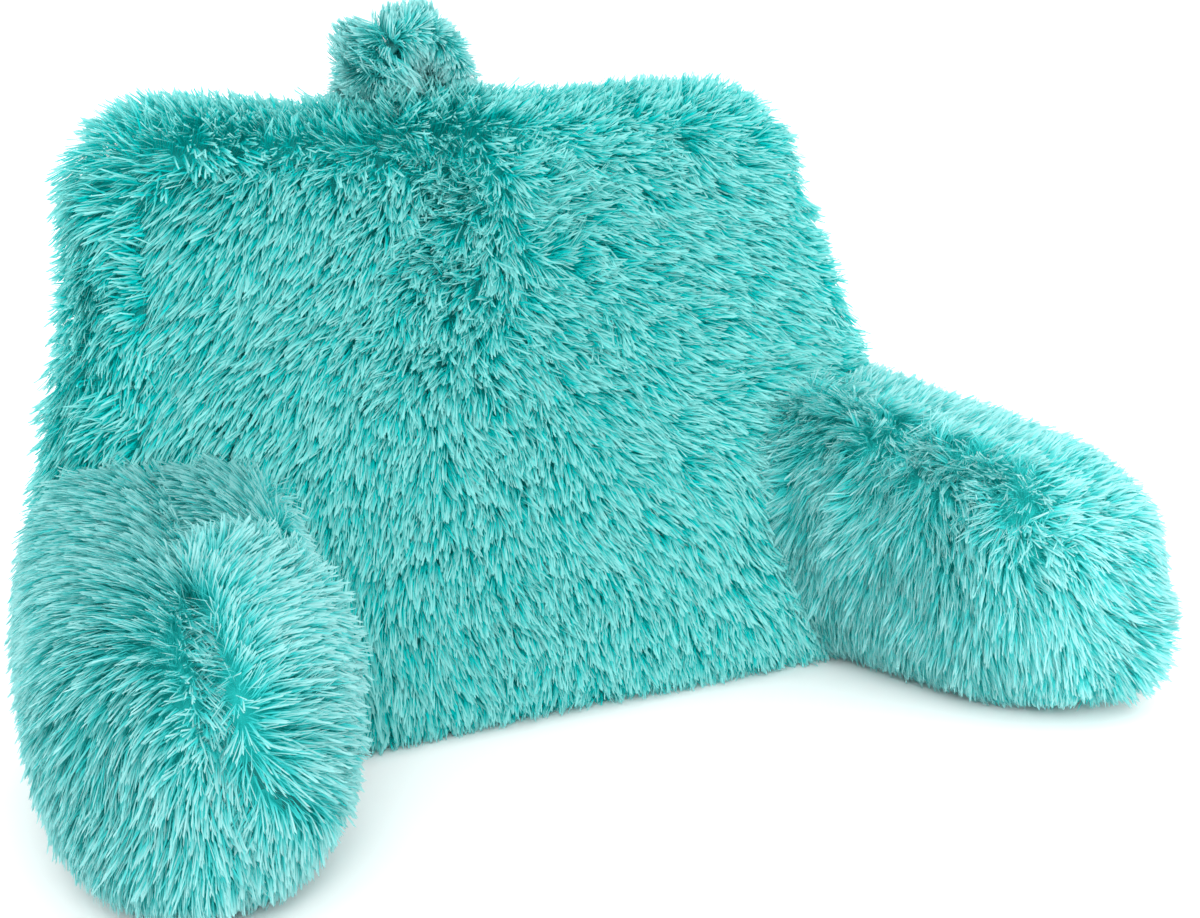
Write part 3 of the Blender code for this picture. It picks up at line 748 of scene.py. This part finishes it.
def pile_tree():
    """Locks of pile on the outside of a cloth form."""
    tree = bpy.data.node_groups.new("pile", "GeometryNodeTree")
    for name, kind in (("Cloth", "Geometry"), ("Locks per square metre", "Float"),
                       ("Lock width", "Float"), ("Tuft size", "Float"), ("Tuft pull", "Float"),
                       ("Clump size", "Float"), ("Clump pull", "Float"), ("Stray", "Float"),
                       ("Seed", "Int"), ("Lock", "Object"), ("Fur", "Material")):
        tree.interface.new_socket(name, in_out="INPUT", socket_type="NodeSocket" + kind)
    tree.interface.new_socket("Pile", in_out="OUTPUT", socket_type="NodeSocketGeometry")
    given = tree.nodes.new("NodeGroupInput").outputs

    density = math_node(tree, "MULTIPLY", given["Locks per square metre"], stored(tree, "grow", "FLOAT"))
    roots = add_node(tree, "GeometryNodeDistributePointsOnFaces",
                     {"Mesh": given["Cloth"], "Density": density, "Seed": given["Seed"]})
    normal = roots.outputs["Normal"]
    place = tree.nodes.new("GeometryNodeInputPosition").outputs[0]
    length = stored(tree, "pile_length", "FLOAT")
    tousle = math_node(tree, "MULTIPLY", stored(tree, "tousle", "FLOAT"), given["Stray"])

    # Locks of one tuft lean towards its middle and share its stray lean, and so do tufts of one clump.
    tuft, tuft_inward = gathered(tree, place, normal, given["Tuft size"], given["Tuft pull"])
    clump, clump_inward = gathered(tree, place, normal, given["Clump size"], given["Clump pull"])
    inward = vector_node(tree, "ADD", tuft_inward, clump_inward)
    tuft_lean = vector_node(tree, "SUBTRACT", tuft, (0.5, 0.5, 0.5))
    tuft_lean = vector_node(tree, "SCALE", tuft_lean, scale=math_node(tree, "MULTIPLY", tousle, TUFT_LEAN))
    clump_lean = vector_node(tree, "SUBTRACT", clump, (0.5, 0.5, 0.5))
    unruly = math_node(tree, "MULTIPLY", math_node(tree, "MULTIPLY", tousle, tousle), CLUMP_LEAN)
    clump_lean = vector_node(tree, "SCALE", clump_lean, scale=unruly)
    lock_lean = chance(tree, (-1.0, -1.0, -1.0), (1.0, 1.0, 1.0), LEAN_SEED, "FLOAT_VECTOR")
    lock_lean = vector_node(tree, "SCALE", lock_lean, scale=math_node(tree, "MULTIPLY", tousle, LOCK_LEAN))
    tuft_parts = add_node(tree, "ShaderNodeSeparateXYZ", {0: tuft}).outputs

    # The brushed way along the cloth, lifted off it.
    lift = stored(tree, "lift", "FLOAT")
    along = vector_node(tree, "SCALE", stored(tree, "comb", "FLOAT_VECTOR"),
                        scale=math_node(tree, "COSINE", lift))
    off = vector_node(tree, "SCALE", normal, scale=math_node(tree, "SINE", lift))
    way = vector_node(tree, "ADD", along, off)
    way = vector_node(tree, "ADD", way, tuft_lean)
    way = vector_node(tree, "ADD", way, clump_lean)
    way = vector_node(tree, "ADD", way, lock_lean)
    way = vector_node(tree, "SCALE", vector_node(tree, "NORMALIZE", way), scale=length)
    way = vector_node(tree, "ADD", way, inward)
    facing = add_node(tree, "FunctionNodeAxesToRotation", {0: way, 1: normal},
                      primary_axis="Z", secondary_axis="Y")
    turn = math_node(tree, "MULTIPLY", math_node(tree, "SUBTRACT", tuft_parts["Y"], 0.5), TUFT_TWIST)
    turn = math_node(tree, "ADD", turn, chance(tree, -LOCK_TWIST, LOCK_TWIST, TWIST_SEED))
    twist = add_node(tree, "ShaderNodeCombineXYZ", {"Z": turn})
    twist = add_node(tree, "FunctionNodeEulerToRotation", {0: twist.outputs[0]})
    facing = add_node(tree, "FunctionNodeRotateRotation", {0: facing.outputs[0], 1: twist.outputs[0]},
                      rotation_space="LOCAL")

    # Part of a lock's length and tone is shared by its tuft, and the rest is its own. Most of the tone
    # follows the length, so longer locks, which stand farther out, are coloured paler: painted light.
    share = math_node(tree, "MULTIPLY", tuft_parts["Z"], TUFT_SHARE)
    share = math_node(tree, "ADD", share, chance(tree, 0.0, 1.0 - TUFT_SHARE, LENGTH_SEED))
    long = math_node(tree, "ADD", math_node(tree, "MULTIPLY", share, LOCK_LENGTHS), LOCK_SHORTEST)
    long = math_node(tree, "MULTIPLY", length, long)
    wide = math_node(tree, "MULTIPLY", given["Lock width"], chance(tree, *LOCK_WIDTHS, WIDTH_SEED))
    size = add_node(tree, "ShaderNodeCombineXYZ", {"X": wide, "Y": long, "Z": long})
    tone = math_node(tree, "MULTIPLY", share, 0.7)
    tone = math_node(tree, "ADD", tone, chance(tree, 0.0, 0.3, TONE_SEED))
    tone = math_node(tree, "FLOOR", math_node(tree, "MULTIPLY", tone, TONES))
    toned = add_node(tree, "GeometryNodeStoreNamedAttribute",
                     {"Geometry": roots.outputs["Points"], "Name": "tone", "Value": tone},
                     data_type="FLOAT", domain="POINT")
    under = vector_node(tree, "SCALE", normal, scale=-ROOT_DEPTH)
    sunk = add_node(tree, "GeometryNodeSetPosition", {"Geometry": toned.outputs[0], "Offset": under})
    lock = add_node(tree, "GeometryNodeObjectInfo", {"Object": given["Lock"]}, transform_space="ORIGINAL")
    locks = add_node(tree, "GeometryNodeInstanceOnPoints",
                     {"Points": sunk.outputs[0], "Instance": lock.outputs["Geometry"],
                      "Rotation": facing.outputs[0], "Scale": size.outputs[0]})
    real = add_node(tree, "GeometryNodeRealizeInstances", {"Geometry": locks.outputs[0]})

    # Pile that would go through the floor lies on it.
    apart = add_node(tree, "ShaderNodeSeparateXYZ", {0: place})
    height = math_node(tree, "MAXIMUM", apart.outputs["Z"], FLOOR_REST)
    rested = add_node(tree, "ShaderNodeCombineXYZ",
                      {"X": apart.outputs["X"], "Y": apart.outputs["Y"], "Z": height})
    laid = add_node(tree, "GeometryNodeSetPosition",
                    {"Geometry": real.outputs[0], "Position": rested.outputs[0]})

    # Locks of one tone share a column of the map that their colour is kept in.
    column = math_node(tree, "ADD", stored(tree, "tone", "FLOAT"), 0.5)
    column = math_node(tree, "ADD", column, math_node(tree, "MULTIPLY", stored(tree, "across", "FLOAT"), 0.8))
    row = math_node(tree, "ADD", math_node(tree, "MULTIPLY", stored(tree, "along", "FLOAT"), 0.96), 0.02)
    spot = add_node(tree, "ShaderNodeCombineXYZ",
                    {"X": math_node(tree, "DIVIDE", column, TONES), "Y": row})
    mapped = add_node(tree, "GeometryNodeStoreNamedAttribute",
                      {"Geometry": laid.outputs[0], "Name": "OFBake", "Value": spot.outputs[0]},
                      data_type="FLOAT2", domain="CORNER")
    furred = add_node(tree, "GeometryNodeSetMaterial",
                      {"Geometry": mapped.outputs[0], "Material": given["Fur"]})
    add_node(tree, "NodeGroupOutput", {"Pile": furred.outputs[0]})
    return tree


def single_lock():
    """One lock of pile, a unit long and wide, bowed outward and cut off blunt as a brush is."""
    points = ((0.0, 0.0, 0.0), (-0.45, LOCK_BEND, 0.5), (0.45, LOCK_BEND, 0.5),
              (-0.36, 0.0, 0.93), (0.36, 0.0, 1.0))
    mesh = bpy.data.meshes.new("lock")
    mesh.from_pydata(points, [], [(0, 2, 1), (1, 2, 4, 3)])
    along = mesh.attributes.new("along", "FLOAT", "POINT")
    across = mesh.attributes.new("across", "FLOAT", "POINT")
    for index, vert in enumerate(mesh.vertices):
        along.data[index].value = vert.co.z
        across.data[index].value = vert.co.x
    mesh.shade_smooth()
    return bpy.data.objects.new("lock", mesh)


def plain_mesh(holder, name):
    """What an object's modifiers make of it, as a plain mesh object."""
    graph = bpy.context.evaluated_depsgraph_get()
    mesh = bpy.data.meshes.new_from_object(holder.evaluated_get(graph))
    mesh.name = name
    made = bpy.data.objects.new(name, mesh)
    bpy.context.scene.collection.objects.link(made)
    bpy.data.objects.remove(holder, do_unlink=True)
    return made


def brushed(cloth, brushing, on_skin):
    """Write on a copy of the cloth how its pile is brushed, and where it grows."""
    mesh = cloth.data.copy()
    holder = bpy.data.objects.new("brushed", mesh)
    bpy.context.scene.collection.objects.link(holder)
    values = {"comb": [], "lift": [], "pile_length": [], "tousle": []}
    for vert in mesh.vertices:
        comb, lift, length, tousle = brushing(vert.co, vert.normal)
        clear = ramp(vert.co.z, 0.0, FLOOR_CLEAR)
        comb = comb.lerp(Vector((0.0, 0.0, -1.0)), FLOOR_HANG * (1.0 - clear))
        lift *= 0.55 + 0.45 * clear
        length *= 0.65 + 0.35 * clear
        comb = comb - vert.normal * comb.dot(vert.normal)
        values["comb"].extend(comb.normalized() if comb.length > 0.05 else comb * 20.0)
        values["lift"].append(math.radians(lift))
        values["pile_length"].append(length)
        values["tousle"].append(tousle)
    for name, numbers in values.items():
        kind, field = ("FLOAT_VECTOR", "vector") if name == "comb" else ("FLOAT", "value")
        mesh.attributes.new(name, kind, "POINT").data.foreach_set(field, numbers)
    grow = [on_skin(face.center, face.normal) for face in mesh.polygons]
    mesh.attributes.new("grow", "FLOAT", "FACE").data.foreach_set("value", grow)
    return holder


def grow_pile(cloth, name, brushing, on_skin, fur, density, seed, width=LOCK_WIDTH,
              clump_pull=CLUMP_PULL, stray=STRAY):
    """The pile of one cloth piece, as a mesh of locks."""
    holder = brushed(cloth, brushing, on_skin)
    growth = holder.modifiers.new("pile", "NODES")
    growth.node_group = PILE
    values = {"Locks per square metre": density, "Lock width": width, "Tuft size": TUFT_SIZE,
              "Tuft pull": TUFT_PULL, "Clump size": CLUMP_SIZE, "Clump pull": clump_pull,
              "Stray": stray, "Seed": seed, "Lock": LOCK, "Fur": fur}
    for item in PILE.interface.items_tree:
        if item.in_out == "INPUT" and item.name in values:
            growth[item.identifier] = values[item.name]
    return plain_mesh(holder, name)


# ---- finishes -------------------------------------------------------------------------------------
def new_material(name):
    """A material, its tree and its shader."""
    made = bpy.data.materials.new(name)
    made.use_nodes = True
    return made, made.node_tree, made.node_tree.nodes["Principled BSDF"]


def fibre_group():
    """Colour of a fibre from a darker root, painted shade, to a pale tip, painted light, with a tone for each
    lock and streaks along it.
    """
    group = bpy.data.node_groups.new("fibre", "ShaderNodeTree")
    for name in ("Root", "Middle", "Tip"):
        group.interface.new_socket(name, in_out="INPUT", socket_type="NodeSocketColor")
    group.interface.new_socket("Tone", in_out="INPUT", socket_type="NodeSocketFloat")
    group.interface.new_socket("Color", in_out="OUTPUT", socket_type="NodeSocketColor")
    group.interface.new_socket("Height", in_out="OUTPUT", socket_type="NodeSocketFloat")
    given = group.nodes.new("NodeGroupInput").outputs
    along = add_node(group, "ShaderNodeAttribute", attribute_name="along").outputs["Fac"]
    tone = add_node(group, "ShaderNodeAttribute", attribute_name="tone").outputs["Fac"]
    tone = math_node(group, "DIVIDE", tone, TONES)
    across = add_node(group, "ShaderNodeAttribute", attribute_name="across").outputs["Fac"]

    # A higher tone, which longer locks get, moves the colour towards the pale tip and brightens it: painted
    # light. The streaks are the fibres' own colour.
    reach = math_node(group, "MULTIPLY", math_node(group, "SUBTRACT", tone, 0.5), given["Tone"])
    reach = math_node(group, "ADD", along, reach)
    lower, upper = [add_node(group, "ShaderNodeMapRange", {"Value": reach, "From Min": low, "From Max": high})
                    for low, high in (ROOT_TO_MIDDLE, MIDDLE_TO_TIP)]
    shade = add_node(group, "ShaderNodeMix", {0: lower.outputs[0], 6: given["Root"], 7: given["Middle"]},
                     data_type="RGBA")
    shade = add_node(group, "ShaderNodeMix", {0: upper.outputs[0], 6: shade.outputs[2], 7: given["Tip"]},
                     data_type="RGBA")
    streak_place = add_node(group, "ShaderNodeCombineXYZ",
                            {"X": math_node(group, "MULTIPLY", across, STREAKS), "Y": along,
                             "Z": math_node(group, "MULTIPLY", tone, 37.0)})
    streak = add_node(group, "ShaderNodeTexNoise",
                      {"Vector": streak_place.outputs[0], "Scale": 1.0, "Detail": 2.0})
    spread = math_node(group, "ADD", math_node(group, "MULTIPLY", tone, 0.2),
                       math_node(group, "MULTIPLY", streak.outputs["Fac"], 0.4))
    bright = math_node(group, "ADD", spread, 0.7)
    toned = add_node(group, "ShaderNodeVectorMath", {0: shade.outputs[2]}, operation="SCALE")
    group.links.new(bright, toned.inputs["Scale"])
    add_node(group, "NodeGroupOutput", {"Color": toned.outputs[0], "Height": streak.outputs["Fac"]})
    return group


def fur_material(name, root, middle, tip):
    """Matt fibres that let light through."""
    made, tree, shader = new_material(name)
    fibre = add_node(tree, "ShaderNodeGroup", node_tree=FIBRE)
    for key, value in (("Root", root), ("Middle", middle), ("Tip", tip), ("Tone", FUR_TONE)):
        fibre.inputs[key].default_value = value
    bump = add_node(tree, "ShaderNodeBump", {"Height": fibre.outputs["Height"], "Strength": 0.25,
                                             "Distance": 0.0004})
    tree.links.new(fibre.outputs["Color"], shader.inputs["Base Color"])
    tree.links.new(bump.outputs[0], shader.inputs["Normal"])
    through = add_node(tree, "ShaderNodeBsdfTranslucent", {"Color": fibre.outputs["Color"]})
    both = add_node(tree, "ShaderNodeMixShader",
                    {0: FUR_THROUGH, 1: shader.outputs[0], 2: through.outputs[0]})
    tree.links.new(both.outputs[0], tree.nodes["Material Output"].inputs["Surface"])
    shader.inputs["Roughness"].default_value = FUR_ROUGHNESS
    shader.inputs["Specular IOR Level"].default_value = 0.04
    made.diffuse_color = middle
    return made


def knit_material(name, thread, gap):
    """The knitted cloth that the pile is rooted in."""
    made, tree, shader = new_material(name)
    place = tree.nodes.new("ShaderNodeTexCoord").outputs["Object"]
    rows = add_node(tree, "ShaderNodeTexWave", {"Vector": place, "Scale": KNIT_ROWS, "Distortion": 2.5,
                                                "Detail": 2.0}, bands_direction="Z")
    loops = add_node(tree, "ShaderNodeTexWave", {"Vector": place, "Scale": KNIT_LOOPS, "Distortion": 2.0,
                                                 "Detail": 1.0}, bands_direction="X")
    weave = math_node(tree, "MULTIPLY", rows.outputs["Fac"], loops.outputs["Fac"])
    patches = add_node(tree, "ShaderNodeTexNoise", {"Vector": place, "Scale": KNIT_PATCHES, "Detail": 4.0})
    mixed = math_node(tree, "MULTIPLY", math_node(tree, "ADD", weave, 0.35), patches.outputs["Fac"])
    colour = add_node(tree, "ShaderNodeMix", {0: mixed, 6: gap, 7: thread}, data_type="RGBA")
    tree.links.new(colour.outputs[2], shader.inputs["Base Color"])
    bump = add_node(tree, "ShaderNodeBump", {"Height": weave, "Strength": 0.5, "Distance": 0.0006})
    tree.links.new(bump.outputs[0], shader.inputs["Normal"])
    shader.inputs["Roughness"].default_value = 0.85
    shader.inputs["Sheen Weight"].default_value = 0.02
    made.diffuse_color = thread
    return made


PILE = pile_tree()
LOCK = single_lock()
FIBRE = fibre_group()

# The darker root colours are painted shade deep in the pile, and the pale tip colours painted light on the
# outermost fibres.
AQUA_FUR = fur_material("aqua_fur", (0.0, 0.64, 0.62, 1.0), (0.002, 0.70, 0.685, 1.0),
                        (0.35, 0.80, 0.785, 1.0))
ARM_FUR = fur_material("aqua_arm_fur", (0.010, 0.57, 0.555, 1.0), (0.070, 0.735, 0.725, 1.0),
                       (0.43, 0.79, 0.785, 1.0))
KNIT = knit_material("aqua_knit", (0.0, 0.50, 0.48, 1.0), (0.0, 0.36, 0.345, 1.0))
# A darker copy of the knit for the cloth where the pile is parted: painted shade in the partings and the
# crease.
SEAM_SHADE_KNIT = knit_material("aqua_seam_painted_shade", (0.0, 0.28, 0.27, 1.0), (0.0, 0.16, 0.155, 1.0))
STRAP_CLOTH = knit_material("strap_cloth", (0.04, 0.40, 0.39, 1.0), (0.01, 0.20, 0.195, 1.0))


# ---- the pieces -----------------------------------------------------------------------------------
def dress(node, body, brushing, on_skin, slot, density, seed, fill=BACK_FILL, parts=1, fur=AQUA_FUR,
          bare=None, **pile):
    """The stuffed cloth piece and the pile that stand for one CAD node."""
    cloth = to_object(node + "_cloth", body)
    cloth.data.materials.append(KNIT)
    # Where the pile is parted, the cloth takes the darker knit: painted shade.
    if bare:
        cloth.data.materials.append(SEAM_SHADE_KNIT)
        for face in cloth.data.polygons:
            face.material_index = int(bare(face.center))
    made = [cloth]
    for part in range(parts):
        name = node + "_pile" + ("_%d" % (part + 1) if parts > 1 else "")
        made.append(grow_pile(cloth, name, brushing, on_skin, fur, density / parts, seed + part, **pile))
    for piece in made:
        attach(piece, "root")
        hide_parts(node)


def off_planes(*planes):
    """Grows pile everywhere but on the cuts inside the cushion."""
    def on_skin(centre, normal):
        for point, facing in planes:
            if abs((centre - point).dot(facing)) < 0.001 and abs(normal.dot(facing)) > 0.99:
                return 0.0
        return SOLE_GROWTH if normal.z < -0.8 else 1.0
    return on_skin


def make_back():
    """The three panels of the back. Gives the whole cushion, for the arms to be fitted to."""
    body = back_form()
    draw_in(body, PILE_ROOM)
    body = filled(body)
    front, rear = back_seams()
    for point, normal in (front, rear):
        draw_in_seam(body, point, normal, BACK_SEAM_DEPTH)
    half = PIECE_GAP / 2.0
    front_point, front_normal = front
    rear_point, rear_normal = rear
    panel = keep_behind(body, front_point + front_normal * half, -front_normal)
    rear_panel = keep_behind(body, rear_point + rear_normal * half, -rear_normal)
    boxing = keep_behind(body, front_point - front_normal * half, front_normal)
    boxing = keep_behind(boxing, rear_point - rear_normal * half, rear_normal)
    on_skin = off_planes(front, rear)
    dress("backrest_front_panel", panel, front_brushing, on_skin, "back_fur", FRONT_LOCKS, 1, parts=2)
    dress("backrest_boxing_strip", boxing, boxing_brushing, on_skin, "boxing_fur", BOXING_LOCKS, 5,
          width=BOXING_LOCK_WIDTH)
    dress("backrest_rear_panel", rear_panel, rear_brushing, on_skin, "back_fur", REAR_LOCKS, 9,
          width=REAR_LOCK_WIDTH)
    return body


def make_arm(side, word, back):
    """The two panels of one arm, cut where the back cushion starts."""
    body = arm_form(side)
    draw_in(body, PILE_ROOM)
    body = filled(body)
    seam = arm_seam(side)
    draw_in_seam(body, *seam, ARM_SEAM_DEPTH)
    knife = back.copy()
    knife.normal_update()
    for vert in knife.verts:
        vert.co += vert.normal * PIECE_GAP
    surface = BVHTree.FromBMesh(knife)
    body = trimmed(body, knife)
    away_from_cuts = off_planes(seam)
    brushing, bare = left_arm_brushing() if side < 0 else right_arm_brushing()

    def on_skin(centre, normal):
        if surface.find_nearest(centre)[3] < ARM_CLEARANCE:
            return 0.0
        return away_from_cuts(centre, normal) * (PARTED_GROWTH if bare(centre) else 1.0)

    point, normal = seam
    inner = keep_behind(body, point - normal * (PIECE_GAP / 2.0), normal)
    outer = keep_behind(body, point + normal * (PIECE_GAP / 2.0), -normal)
    for half, place, seed in ((inner, "inner", 20), (outer, "outer", 30)):
        dress("arm_%s_%s_panel" % (word, place), half, brushing, on_skin, "arm_fur", ARM_LOCKS,
              seed + side, fill=ARM_FILL, fur=ARM_FUR, bare=bare, clump_pull=ARM_CLUMP_PULL,
              stray=ARM_STRAY)


def make_handle():
    """The strap of the carry handle and its pile."""
    def on_strap(centre, normal):
        turn = handle_turn(centre)
        if centre.z < BACK_HEIGHT - 0.006:
            return 0.0
        if HANDLE_BARE_FROM < turn or HANDLE_NOTCH[0] < turn < HANDLE_NOTCH[1]:
            return 0.0
        return STRAP_FRONT_GROWTH if normal.y < -0.5 else 1.0

    strap = to_object("carry_handle_strap", strap_form())
    strap.data.materials.append(STRAP_CLOTH)
    pile = grow_pile(strap, "carry_handle_pile", handle_brushing, on_strap, ARM_FUR, HANDLE_LOCKS, 50)
    for piece in (strap, pile):
        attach(piece, "root")
        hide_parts("carry_handle")


back = make_back()
make_arm(-1, "left", back)
make_arm(1, "right", back)
make_handle()


# ---- stage, light and camera ----------------------------------------------------------------------
def make_floor():
    """A plain pale floor, of the stage and not of the part."""
    body = bmesh.new()
    bmesh.ops.create_circle(body, cap_ends=True, segments=96, radius=FLOOR_SIZE)
    floor = to_object("floor", body)
    made, tree, shader = new_material("pale_floor")
    speckle = add_node(tree, "ShaderNodeTexNoise",
                       {"Vector": tree.nodes.new("ShaderNodeTexCoord").outputs["Object"], "Scale": 4.0})
    tint = add_node(tree, "ShaderNodeMix", {0: speckle.outputs["Fac"], 6: (0.90, 0.90, 0.90, 1.0),
                                            7: (0.92, 0.92, 0.92, 1.0)}, data_type="RGBA")
    tree.links.new(tint.outputs[2], shader.inputs["Base Color"])
    shader.inputs["Roughness"].default_value = 0.95
    floor.data.materials.append(made)


def area_light(name, place, aim, size, power, spread=180.0):
    """A round soft light, its power in watts and its spread in degrees."""
    data = bpy.data.lights.new(name, "AREA")
    data.shape = "DISK"
    data.size = size
    data.energy = power
    data.spread = math.radians(spread)
    light = bpy.data.objects.new(name, data)
    light.location = place
    light.rotation_euler = (Vector(aim) - Vector(place)).to_track_quat("-Z", "Y").to_euler()
    bpy.context.scene.collection.objects.link(light)


def make_world():
    """White light from all round."""
    world = bpy.data.worlds.new("studio")
    world.use_nodes = True
    world.node_tree.nodes["Background"].inputs["Color"].default_value = (1.0, 1.0, 1.0, 1.0)
    world.node_tree.nodes["Background"].inputs["Strength"].default_value = WORLD_STRENGTH
    bpy.context.scene.world = world


def make_camera():
    """A camera at the photograph's viewing angle."""
    level = math.cos(CAMERA_ELEVATION)
    back_way = Vector((-math.sin(CAMERA_AZIMUTH) * level, -math.cos(CAMERA_AZIMUTH) * level,
                       math.sin(CAMERA_ELEVATION)))
    data = bpy.data.cameras.new("camera")
    data.sensor_width = 36.0
    data.lens = CAMERA_LENS
    data.clip_end = 60.0
    camera = bpy.data.objects.new("camera", data)
    camera.location = CAMERA_AIM + back_way * CAMERA_DISTANCE
    camera.rotation_euler = (-back_way).to_track_quat("-Z", "Y").to_euler()
    bpy.context.scene.collection.objects.link(camera)
    bpy.context.scene.camera = camera


make_floor()
make_world()
area_light("key", (-1.3, -2.4, 2.1), (0.0, 0.0, 0.2), size=1.6, power=32.0)
area_light("fill", (-0.5, -1.7, 0.9), (0.42, -0.12, 0.06), size=0.5, power=0.34, spread=18.0)
make_camera()
bpy.context.scene.view_settings.view_transform = "Standard"
